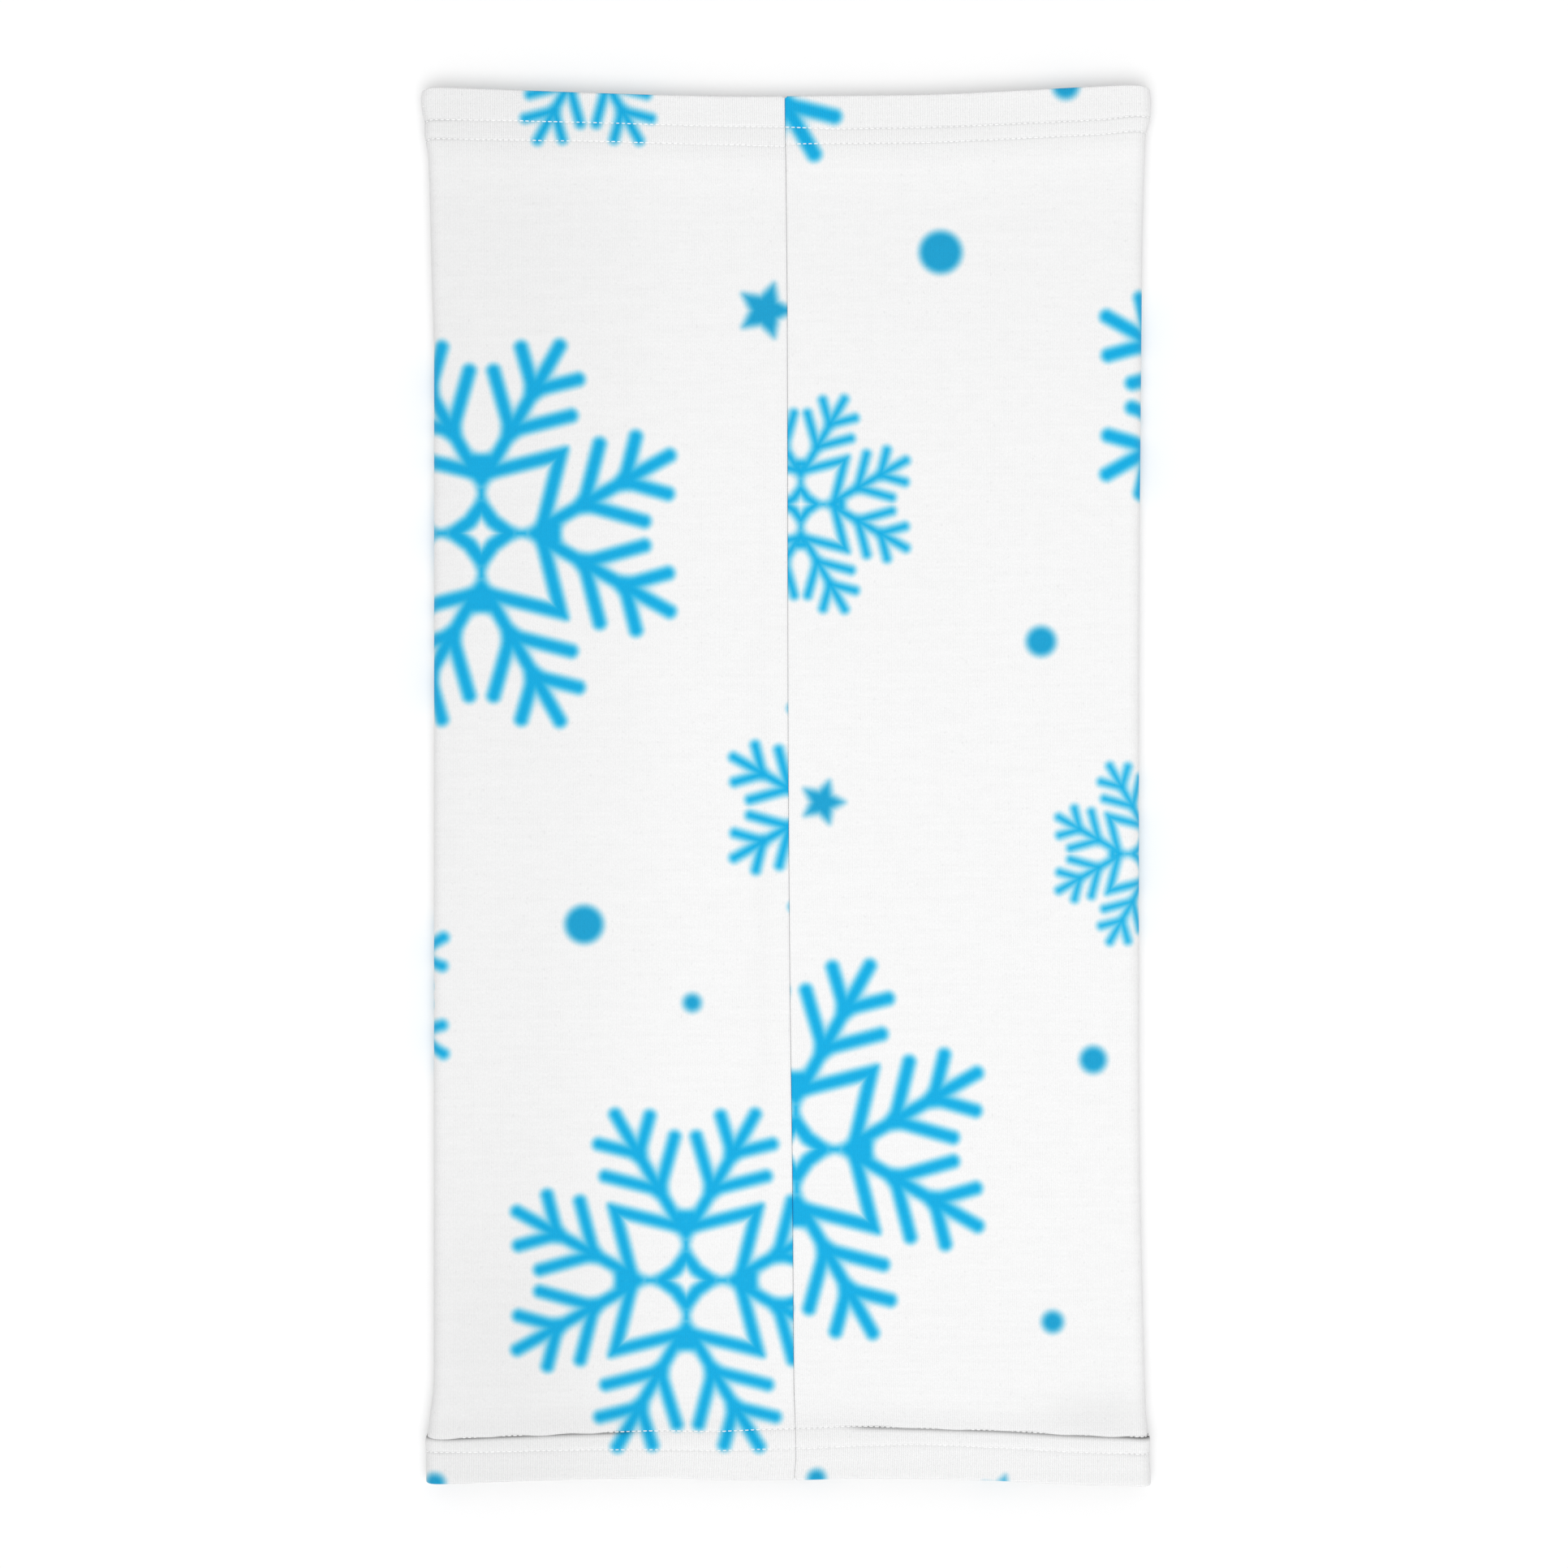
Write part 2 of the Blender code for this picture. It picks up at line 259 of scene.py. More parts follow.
def paintedShadingAt(end, x, y, z, fromFold):
    # Share of the cloth's colour as painted shading: slow painted light and shade across and along the back,
    # patches of painted shade, painted shade along the needle lines, and a painted shadow in the crevice
    # where the body rolls over them
    width = paintedShading["needleShadeWidth"]
    # Painted shade along the two needle lines
    lines = bell(fromFold - hem["outerNeedle"], width) + bell(fromFold - hem["innerNeedle"], width)
    lines = lines * through(end["needleShadeAlong"], x)
    # Painted shadow in the crevice where the body rolls over the band, on the back only
    beyond = fromFold - hem["innerNeedle"]
    onBack = np.clip(z / 2 - 1, 0, 1)
    width = paintedShading["creviceShadeWidths"]["body" if beyond > 0 else "band"]
    creviceShade = through(end["rollOver"], x) * onBack * bell(beyond, width)
    # Slow painted light and shade across and along the back, then patches of painted shade
    slowPaintedShading = 1 + through(paintedShading["across"], x) + through(paintedShading["along"], y)
    for middleX, middleY, reachX, reachY, lighter in paintedShading["shadePatches"]:
        slowPaintedShading = slowPaintedShading + lighter * bell(x - middleX, reachX) * bell(y - middleY, reachY)
    return slowPaintedShading * (1 - paintedShading["needleShade"] * lines) * (1 - paintedShading["creviceShade"] * creviceShade)


def pressedAt(fromFold):
    # 1 in the hems, where the knit's columns stand out most, and 0 well away from them
    return float(np.clip(1 - (fromFold - hem["innerNeedle"]) / 9, 0, 1))


def frontSurface(end, x, fromFold):
    bow = cloth["frontBow"] * (x / clothHigh[0]) ** 2 * (1 - min(fromFold / halfPanel, 1)) ** 2
    y = end["sign"] * (halfPanel + bow - fromFold)
    return y, cloth["thickness"] / 2 + ditchAt(x, fromFold)


def layRow(end, fromFold, inset=0.0, pastFold=None, seamForm="tucked"):
    # One row of cloth right round the tube, from the right of the seam to its left: places in mm,
    # the print's own coordinates, and painted shading
    sign = end["sign"]
    station = sign * (halfPanel - fromFold)
    left, right = through(sides["left"], station), through(sides["right"], station)
    seamX = float(through(seam["line"], station))
    radius, half = cloth["sideRadius"], cloth["thickness"] / 2
    centreLeft, centreRight = half + radius - left, right - half - radius
    share = np.linspace(0, 1, cloth["backColumns"] + 1)
    turn = np.linspace(0, math.pi, cloth["sideColumns"] + 1)[1:-1]
    front = np.linspace(centreRight, centreLeft, cloth["frontColumns"] + 1)

    leftStrip, rightStrip = seamStrips(seamForm)
    startX, endX = seamX + rightStrip[0][0], seamX + leftStrip[0][0]
    backRight = startX + (centreRight - startX) * share
    backLeft = centreLeft + (endX - centreLeft) * share
    reach = radius - inset

    def side(centre, towards, angles):
        x = centre + towards * reach * np.sin(angles)
        _, zBack = backSurface(end, np.full_like(x, centre), fromFold)
        yFront, zFront = frontSurface(end, np.full_like(x, centre), fromFold)
        yEdge, _ = backSurface(end, x, fromFold)
        low, high = zFront + inset, zBack - inset
        blend = np.clip(1 + np.cos(angles), 0, 1)
        z = (low + high) / 2 + (high - low) / 2 * np.cos(angles)
        return x, yEdge * blend + yFront * (1 - blend), z

    def back(x):
        y, z = backSurface(end, x, fromFold)
        return x, y, z - inset

    def strip(points, startX):
        x = np.array([seamX + dx for dx, _ in points[1:]])
        y, z = backSurface(end, np.full_like(x, startX), fromFold)
        return x, y, z - inset - np.array([depth for _, depth in points[1:]])

    yFront, zFront = frontSurface(end, front, fromFold)
    pieces = [
        [a[::-1] for a in strip(rightStrip, startX)],
        back(backRight),
        side(centreRight, 1, turn),
        (front, yFront, zFront + inset),
        side(centreLeft, -1, turn[::-1]),
        back(backLeft),
        strip(leftStrip, endX),
    ]
    x, y, z = (np.concatenate([piece[axis] for piece in pieces]) for axis in range(3))
    v = y if pastFold is None else sign * (endOfBox - through(end["fold"], x) + pastFold)
    u = printAcross(turn, (backRight, front, backLeft), (rightStrip, leftStrip), seamX)
    return np.stack([x, y, z], 1), np.stack([u, v], 1), paintedShadingAt(end, x, y, z, fromFold)


def arcLengths(points):
    steps = np.hypot(np.diff([p[0] for p in points]), np.diff([p[1] for p in points]))
    return np.cumsum(steps)


def printAcross(turn, stretches, strips, seamX):
    # Across the print, 0 at the right of the seam and printWidth at its left. The print leans with
    # the seam beside it, and stands straight at the sides.
    backRight, front, backLeft = stretches
    lean = seamX * np.linspace(1, 0, len(backRight))
    backRight, backLeft = backRight - lean, backLeft - lean[::-1]
    radius, middle = cloth["sideRadius"], cloth["printWidth"] / 2

    def overSide(centre, distances):
        # Straight to the side's outermost line, then evenly to the middle of the front
        apex = centre + radius * (1 + math.pi / 2) / 2
        total = radius * math.pi / 2 + centre
        upper = centre + radius * (np.sin(distances / radius) + distances / radius) / 2
        lower = apex + (middle - apex) * (distances - radius * math.pi / 2) / total
        return np.where(distances <= radius * math.pi / 2, upper, lower)

    right, left = front[0], -front[-1]
    rightTurn, leftTurn = overSide(right, radius * turn), overSide(left, radius * turn)
    rightFront = overSide(right, radius * math.pi + right - front)
    leftFront = cloth["printWidth"] - overSide(left, radius * math.pi + left + front)
    rightEdge = backRight[0] - arcLengths(strips[0])
    leftEdge = cloth["printWidth"] + backLeft[-1] + arcLengths(strips[1])
    return np.concatenate([
        rightEdge[::-1], backRight, rightTurn, np.where(front >= 0, rightFront, leftFront),
        cloth["printWidth"] - leftTurn[::-1], cloth["printWidth"] + backLeft, leftEdge])


def turnIn(which):
    # A quarter turn at the seam, as (distance from the seam line, depth)
    edge, run, drop = seam["turns"][which]
    angles = np.linspace(0, math.pi / 2, 4)
    return [(edge + run * (1 - math.sin(a)), drop * (1 - math.cos(a))) for a in angles]


def mirrored(strip):
    return [(-x, depth) for x, depth in strip]


def seamStrips(form):
    # How each edge turns in at the seam, as (x from the seam line, depth) from the wall inwards:
    # the left edge's strip, then the right's
    if form == "flat":
        right = [(0.8 + 0.15 * step, 0.0) for step in range(4, -1, -1)]
        return mirrored(right), right
    if form == "tucked":
        right = turnIn("tucked") + [(seam["turns"]["tucked"][0], seam["tuckDepth"])]
        return mirrored(right), right
    over, under = seam["overDepth"], seam["underDepth"]
    left = mirrored(turnIn("left")) + [(-0.3, 0.8), (-0.5, 1.2), (-1.0, over)]
    right = turnIn("right") + [(0.37, 0.8), (0.4, under - 0.6), (0.25, under - 0.2), (-0.2, under)]
    for strip, depth in ((left, over), (right, under)):
        strip += [(-seam["allowance"] * share, depth) for share in (0.4, 0.7, 1.0)]
    return left, right


def addNode(tree, kind, inputs=None, **settings):
    node = tree.nodes.new(kind)
    for name, value in settings.items():
        setattr(node, name, value)
    for socket, value in (inputs or {}).items():
        plug(tree, node.inputs[socket], value)
    return node


def plug(tree, socket, value):
    if isinstance(value, bpy.types.NodeSocket):
        tree.links.new(value, socket)
    else:
        socket.default_value = value


def doMath(tree, operation, *values, clamp=False):
    node = addNode(tree, "ShaderNodeMath", dict(enumerate(values)), operation=operation, use_clamp=clamp)
    return node.outputs[0]


def times(tree, a, b):
    return doMath(tree, "MULTIPLY", a, b)


def minus(tree, a, b):
    return doMath(tree, "SUBTRACT", a, b)


def split(tree, vector):
    return addNode(tree, "ShaderNodeSeparateXYZ", {0: vector}).outputs


def combine(tree, x=0.0, y=0.0, z=0.0):
    return addNode(tree, "ShaderNodeCombineXYZ", {0: x, 1: y, 2: z}).outputs[0]


def doVector(tree, operation, *values, scale=None):
    node = addNode(tree, "ShaderNodeVectorMath", dict(enumerate(values)), operation=operation)
    if scale is not None:
        plug(tree, node.inputs["Scale"], scale)
    return node.outputs["Value" if operation in ("LENGTH", "DISTANCE", "DOT_PRODUCT") else "Vector"]


def newTree(name, kind, inputs, outputs):
    tree = bpy.data.node_groups.new(name, kind)
    sockets = {"float": "NodeSocketFloat", "vector": "NodeSocketVector", "shape": "NodeSocketGeometry",
               "count": "NodeSocketInt", "material": "NodeSocketMaterial"}
    for label, what in inputs:
        tree.interface.new_socket(label, in_out="INPUT", socket_type=sockets[what])
    for label, what in outputs:
        tree.interface.new_socket(label, in_out="OUTPUT", socket_type=sockets[what])
    given = addNode(tree, "NodeGroupInput")
    return tree, given.outputs, addNode(tree, "NodeGroupOutput").inputs


def useGroup(tree, group, **inputs):
    node = tree.nodes.new("ShaderNodeGroup")
    node.node_tree = group
    for name, value in inputs.items():
        plug(tree, node.inputs[name], value)
    return node.outputs


snowflake = {  # full size, one eighth of it: bars as from, to and half width
    "bars": [
        ((22.9, 2.9), (66.1, 27.5), 2.0),  # arm
        ((50.3, 18.3), (54.3, 34.0), 2.0),  # twigs
        ((50.3, 18.3), (65.5, 14.0), 2.0),
        ((36.0, 10.3), (41.5, 31.5), 2.0),
        ((36.0, 10.3), (57.2, 4.3), 2.0),
        ((20.8, 0.0), (28.2, 29.4), 2.06),  # frame
        ((25.3, 0.0), (25.3, 2.2), 2.4),  # hub
        ((20.6, 0.0), (23.0, 1.6), 2.4),
        ((19.2, 0.0), (20.0, 0.0), 1.6),  # neck, thinnest in its middle
        ((17.5, 0.0), (18.6, 0.0), 0.8),
        ((12.5, 0.0), (15.2, 0.0), 0.9),
        ((9.7, 0.0), (4.1, 4.1), 2.2),  # inner ring
    ],
    "softCorner": 3.2,
    "colour": (0.07, 0.653, 0.861),  # as seen on a screen, like all the print's colours
}

spots = {
    "notch": 0.53,  # a star's inner corners, as a share of its size
    "softCorner": 1.6,
    "colour": (0.113, 0.608, 0.794),
}

# From bare cloth to full ink, whatever a motif's size
inkEdge = {"snowflakes": (2.3, -1.7), "spots": (2.2, -2.2)}

# Where motifs are printed: across, along, then size. Back motifs are measured from the seam, on the
# half whose cloth carries them, and front ones from the middle of the front.
motifs = {
    "snowflakes": {
        "right": [(4.7, 99.7, 0.56), (1.55, -127.9, 0.98), (-20.8, 297.3, 1.12),
                  (126.7, -23.6, 0.467), (179.5, 138.0, 1.01)],
        "left": [(-107.7, 89.4, 1.0), (23.5, -7.3, 0.645), (-37.0, -174.1, 0.885),
                 (-69.8, 271.3, 0.655), (-170.3, -73.6, 0.745)],
        "front": [(35, 62, 0.6), (-5, -160, 0.9), (-84, -192, 0.45), (74, 190, 0.68),
                  (-42, -28, 0.55), (84, -196, 0.48)],
    },
    "stars": {
        "right": [(12.1, -5.4, 8.1), (73.8, -249.6, 7.2)],
        "left": [(-7.6, 168.0, 10.3)],
        "front": [(-18, 112, 9.0), (30, -76, 8.0), (52, 132, 7.0)],
    },
    "dots": {
        "right": [(54.3, 188.6, 7.4), (89.6, 51.3, 5.1), (107.9, -96.2, 4.6), (93.2, -188.6, 3.7),
                  (98.5, 246.9, 4.4), (7.9, -244.0, 3.1)],
        "left": [(-71.8, -48.5, 6.6), (-34.2, -76.2, 3.0), (-124.0, -245.5, 3.3)],
        "front": [(-4, 206, 6.5), (-95, 30, 4.8), (8, -4, 5.2), (62, 10, 3.0), (-64, -98, 6.0)],
    },
}


def printPlaces(kind):
    starts = {"right": 0.0, "left": cloth["printWidth"], "front": cloth["printWidth"] / 2}
    return [(starts[half] + across, along, size)
            for half, places in motifs[kind].items() for across, along, size in places]


def makeBarGroup():
    tree, given, result = newTree(
        "bar", "ShaderNodeTree",
        [("Point", "vector"), ("From", "vector"), ("To", "vector"), ("Half Width", "float")],
        [("Distance", "float")])
    along = doVector(tree, "SUBTRACT", given["To"], given["From"])
    offset = doVector(tree, "SUBTRACT", given["Point"], given["From"])
    share = doMath(tree, "DIVIDE", doVector(tree, "DOT_PRODUCT", offset, along),
                   doVector(tree, "DOT_PRODUCT", along, along), clamp=True)
    foot = doVector(tree, "SCALE", along, scale=share)
    away = doVector(tree, "LENGTH", doVector(tree, "SUBTRACT", offset, foot))
    plug(tree, result["Distance"], minus(tree, away, given["Half Width"]))
    return tree


def makeSnowflakeGroup():
    tree, given, result = newTree(
        "snowflake", "ShaderNodeTree", [("Point", "vector")], [("Distance", "float")])
    bar = makeBarGroup()
    apart = split(tree, doVector(tree, "ABSOLUTE", given["Point"]))
    folded = combine(tree, doMath(tree, "MAXIMUM", apart[0], apart[1]),
                     doMath(tree, "MINIMUM", apart[0], apart[1]))
    nearest = None
    for start, finish, halfWidth in snowflake["bars"]:
        distance = useGroup(tree, bar, **{
            "Point": folded, "From": (*start, 0), "To": (*finish, 0), "Half Width": halfWidth})[0]
        if nearest is None:
            nearest = distance
        else:
            nearest = doMath(tree, "SMOOTH_MIN", nearest, distance, snowflake["softCorner"])
    plug(tree, result["Distance"], nearest)
    return tree


def makeNearerGroup():
    # Keeps whichever snowflake's middle is nearer, in its own size
    tree, given, result = newTree(
        "nearer snowflake", "ShaderNodeTree",
        [("Point", "vector"), ("Centre", "vector"), ("Size", "float"), ("Best", "vector"),
         ("Best Size", "float")],
        [("Best", "vector"), ("Best Size", "float")])
    away = doVector(tree, "SUBTRACT", given["Point"], given["Centre"])
    own = doVector(tree, "SCALE", away, scale=doMath(tree, "DIVIDE", 1.0, given["Size"]))
    closer = doMath(tree, "LESS_THAN", doVector(tree, "LENGTH", own),
                    doVector(tree, "LENGTH", given["Best"]))
    pick = addNode(tree, "ShaderNodeMix", {0: closer, 4: given["Best"], 5: own}, data_type="VECTOR")
    plug(tree, result["Best"], pick.outputs[1])
    size = addNode(tree, "ShaderNodeMix", {0: closer, 2: given["Best Size"], 3: given["Size"]},
                   data_type="FLOAT")
    plug(tree, result["Best Size"], size.outputs[0])
    return tree


def newSpotTree(name):
    # A dot or star, or whatever was nearer before it
    return newTree(
        name, "ShaderNodeTree",
        [("Point", "vector"), ("Centre", "vector"), ("Size", "float"), ("Best", "float")],
        [("Distance", "float")])


def makeDotGroup():
    tree, given, result = newSpotTree("dot")
    away = doVector(tree, "DISTANCE", given["Point"], given["Centre"])
    distance = minus(tree, away, given["Size"])
    plug(tree, result["Distance"], doMath(tree, "MINIMUM", distance, given["Best"]))
    return tree


def makeStarGroup():
    # Five points, one towards +X: a tenth of it is one straight edge from the tip to the notch
    notch, tenth = spots["notch"], math.pi / 5
    edge = (notch * math.cos(tenth) - 1, notch * math.sin(tenth))
    length = math.hypot(*edge)
    tree, given, result = newSpotTree("star")
    offset = doVector(tree, "SUBTRACT", given["Point"], given["Centre"])
    apart = split(tree, offset)
    angle = doMath(tree, "ARCTAN2", apart[1], apart[0])
    folded = doMath(tree, "PINGPONG", doMath(tree, "ABSOLUTE", angle), tenth)
    away = doVector(tree, "LENGTH", offset)
    reach = times(tree, away, doMath(tree, "COSINE", folded))
    x = minus(tree, reach, given["Size"])
    y = times(tree, away, doMath(tree, "SINE", folded))
    side = minus(tree, times(tree, x, edge[1] / length), times(tree, y, edge[0] / length))
    tip = minus(tree, away, times(tree, given["Size"], 0.97))
    distance = doMath(tree, "SMOOTH_MAX", side, tip, spots["softCorner"])
    plug(tree, result["Distance"], doMath(tree, "MINIMUM", distance, given["Best"]))
    return tree


def makePrintGroup():
    tree, given, result = newTree(
        "winter print", "ShaderNodeTree", [("Point", "vector")],
        [("Snowflakes", "float"), ("Spots", "float")])
    nearer, dot, star = makeNearerGroup(), makeDotGroup(), makeStarGroup()
    best = {"Best": (1000.0, 0, 0), "Best Size": 1.0}
    for across, along, size in printPlaces("snowflakes"):
        found = useGroup(tree, nearer, Point=given["Point"], Centre=(across, along, 0), Size=size, **best)
        best = {"Best": found["Best"], "Best Size": found["Best Size"]}
    flake = useGroup(tree, makeSnowflakeGroup(), Point=best["Best"])[0]
    flake = times(tree, flake, best["Best Size"])
    spot = 1000.0
    for kind, group in (("dots", dot), ("stars", star)):
        for across, along, size in printPlaces(kind):
            centre = (across, along, 0)
            spot = useGroup(tree, group, Point=given["Point"], Centre=centre, Size=size, Best=spot)[0]
    plug(tree, result["Snowflakes"], inkAt(tree, flake, inkEdge["snowflakes"]))
    plug(tree, result["Spots"], inkAt(tree, spot, inkEdge["spots"]))
    return tree


def inkAt(tree, distance, edge):
    return addNode(tree, "ShaderNodeMapRange", {"Value": distance, "From Min": edge[0], "From Max": edge[1]},
                   interpolation_type="SMOOTHSTEP").outputs[0]


jersey = {
    "white": (0.93, 0.93, 0.931),
    "wrongSide": (0.89, 0.89, 0.891),
    "wale": 0.78,  # one column of knit loops
    "course": 0.56,  # one row of them
    "loopDepth": 0.3,  # against the columns' own roundness
    "bump": 0.8,
    "bumpHeight": 0.1,
    "pressedGrooveShade": 0.06,  # how much darker the grooves between columns are painted in the hems, as painted shade
    # Noise: stretch and detail, the range read, and what it becomes, as shares of the colour
    "streak": ((0.03, 0.6, 0), 5.0, (0.3, 0.7), (0.972, 1.0)),
    "grain": ((1.9, 1.0, 0), 2.0, (0.25, 0.75), (0.93, 1.0)),
    "fleck": ((0.8, 0.6, 7.0), 0.0, (0.74, 0.82), (1.0, 0.95)),
    # Patches where the painted shade in the grooves between columns is deeper
    "shadePatches": ((0.16, 0.22, 3.0), 1.0, (0.4, 0.65), (0.0, 0.06)),
}


def newMaterial(name):
    material = bpy.data.materials.new(name)
    material.use_nodes = True
    tree = material.node_tree
    return material, tree, tree.nodes["Principled BSDF"]


def columns(tree, point):
    # 1 along the middle of each column of loops and 0 between columns
    across = split(tree, point)[0]
    turns = times(tree, doMath(tree, "DIVIDE", across, jersey["wale"]), math.pi)
    return doMath(tree, "ABSOLUTE", doMath(tree, "SINE", turns))


def knitHeight(tree, point):
    # Rows of loops: rounded columns, with each loop a shallow V across its column
    apart = split(tree, point)
    lean = doMath(tree, "PINGPONG", doMath(tree, "DIVIDE", apart[0], jersey["wale"]), 0.5)
    along = doMath(tree, "ADD", doMath(tree, "DIVIDE", apart[1], jersey["course"]), lean)
    loop = doMath(tree, "SINE", times(tree, along, 2 * math.pi))
    return doMath(tree, "ADD", columns(tree, point), times(tree, loop, jersey["loopDepth"]))


def clothCoordinates(tree):
    uv = addNode(tree, "ShaderNodeUVMap", uv_map="clothUV").outputs[0]
    return doVector(tree, "SCALE", uv, scale=1 / mm)


def readFloat(tree, name):
    return addNode(tree, "ShaderNodeAttribute", attribute_name=name).outputs["Fac"]


def rangeTo(tree, value, fromLow, fromHigh, toLow, toHigh):
    return addNode(tree, "ShaderNodeMapRange", {
        "Value": value, "From Min": fromLow, "From Max": fromHigh,
        "To Min": toLow, "To Max": toHigh}).outputs[0]


def noise(tree, point, scale, detail):
    stretched = doVector(tree, "MULTIPLY", point, scale)
    return addNode(tree, "ShaderNodeTexNoise", {
        "Vector": stretched, "Scale": 1.0, "Detail": detail, "Roughness": 0.65}).outputs[0]


def finishJersey(tree, shader, point, colour):
    # The colour comes in as seen on a screen, and is evened out to light before it is shaded
    def mark(name):
        stretch, detail, read, become = jersey[name]
        return rangeTo(tree, noise(tree, point, stretch, detail), *read, *become)

    pressed = readFloat(tree, "pressed")
    fuzz = noise(tree, point, (1.3, 1.3, 0), 3.0)
    knit = times(tree, knitHeight(tree, point), rangeTo(tree, pressed, 0, 1, 0.8, 1.6))
    height = doMath(tree, "ADD", knit, fuzz)
    bump = addNode(tree, "ShaderNodeBump", {
        "Strength": jersey["bump"], "Distance": jersey["bumpHeight"] * mm, "Height": height})
    # Painted shade in the grooves between the knit's columns, deeper in patches and in the hems
    grooveShade = doMath(tree, "POWER", minus(tree, 1.0, columns(tree, point)), 2.0)
    pressedGrooveShadeDepth = times(tree, pressed, jersey["pressedGrooveShade"])
    depth = doMath(tree, "MAXIMUM", mark("shadePatches"), pressedGrooveShadeDepth)
    shade = minus(tree, 1.0, times(tree, grooveShade, depth))
    # The random streaks, grain and flecks, and the painted light and shade read from the cloth's points
    for part in (mark("streak"), mark("grain"), mark("fleck"), readFloat(tree, "paintedShading")):
        shade = times(tree, shade, part)
    even = addNode(tree, "ShaderNodeGamma", {"Color": colour, "Gamma": 2.2}).outputs[0]
    plug(tree, shader.inputs["Base Color"], doVector(tree, "SCALE", even, scale=shade))
    plug(tree, shader.inputs["Normal"], bump.outputs[0])
    shader.inputs["Roughness"].default_value = 0.9
    shader.inputs["Specular IOR Level"].default_value = 0.2
    shader.inputs["Sheen Weight"].default_value = 0.08
    shader.inputs["Sheen Roughness"].default_value = 0.5


def makePrintedJersey():
    material, tree, shader = newMaterial("printed jersey")
    point = clothCoordinates(tree)
    masks = useGroup(tree, makePrintGroup(), Point=point)
    colour = (*jersey["white"], 1)
    for label, ink in (("Snowflakes", snowflake["colour"]), ("Spots", spots["colour"])):
        mix = addNode(tree, "ShaderNodeMix", {0: masks[label], 6: colour, 7: (*ink, 1)}, data_type="RGBA")
        colour = mix.outputs[2]
    finishJersey(tree, shader, point, colour)
    return material


def makeWrongSide():
    material, tree, shader = newMaterial("jersey wrong side")
    point = clothCoordinates(tree)
    finishJersey(tree, shader, point, (*jersey["wrongSide"], 1))
    return material


def makeThreadMaterial(name, colour):
    # Fine slanting lines for the twist, painted darker in their low lines as painted shade
    material, tree, shader = newMaterial(name)
    point = addNode(tree, "ShaderNodeTexCoord").outputs["Object"]
    twist = addNode(tree, "ShaderNodeTexWave", {
        "Vector": point, "Scale": 900.0, "Distortion": 1.5, "Detail": 1.0}, bands_direction="DIAGONAL")
    height = twist.outputs["Fac"]
    bump = addNode(tree, "ShaderNodeBump", {"Strength": 0.4, "Distance": 0.05 * mm, "Height": height})
    # Painted shade in the twist's low lines
    shade = rangeTo(tree, height, 0, 1, 0.94, 1.0)
    plug(tree, shader.inputs["Base Color"], doVector(tree, "SCALE", colour, scale=shade))
    plug(tree, shader.inputs["Normal"], bump.outputs[0])
    shader.inputs["Roughness"].default_value = 0.6
    shader.inputs["Sheen Weight"].default_value = 0.1
    return material


rowPlaces = {
    "hem": (0.0, 0.3, 0.9, 1.9, 3.2, 4.8, 6.4, 7.6, 12.9, 14.3),  # from the fold
    "nearNeedle": (0.35, 0.8, 1.4, 2.2),
    "fold": 7,  # steps round it
    "body": (0.0, 0.15, 0.3, 0.5, 0.7, 1.0, 1.3, 1.8, 2.3, 3.1, 4.0, 5.2, 6.5, 8.2, 10.0, 12.5, 15.5, 19.0,
             23.0, 27.5),  # from the inner needle line
    "middle": 30,  # even steps from there to the middle of the length
}


def hemRows(fromTurnedEdge):
    # (distance from the fold, inset, how far past the fold, seam form) down one hem
    pitch, needles = cloth["plyPitch"], (hem["outerNeedle"], hem["innerNeedle"])
    near = rowPlaces["nearNeedle"]
    marks = sorted({*rowPlaces["hem"], hem["turned"], *needles, *(n - d for n in needles for d in near),
                    *(needles[0] + d for d in near[:3])})
    turned = [(mark, pitch, mark, "flat") for mark in reversed(marks)]
    outer = [(mark, 0.0, None, "tucked") for mark in marks if mark <= needles[1]]
    fold = []
    for step in range(1, rowPlaces["fold"]):
        angle = math.pi * step / rowPlaces["fold"]
        fold.append((-pitch / 2 * math.sin(angle), pitch / 2 * (1 + math.cos(angle)),
                     pitch / 2 * (math.pi - angle), "flat"))
    rows = turned + fold + outer
    return rows if fromTurnedEdge else rows[::-1]


def bodyRows():
    # (end, distance from the fold, seam form) from the top hem to the bottom one
    marks = [hem["innerNeedle"] + d for d in rowPlaces["body"]]
    steps = rowPlaces["middle"]
    marks += [marks[-1] + (halfPanel - marks[-1]) * step / steps for step in range(1, steps + 1)]
    forms = ["sewn" if mark >= seam["startsAt"] else "tucked" for mark in marks]
    top = [("top", mark, form) for mark, form in zip(marks, forms)]
    bottom = [("bottom", mark, form) for mark, form in zip(marks, forms)]
    return top + bottom[-2::-1]


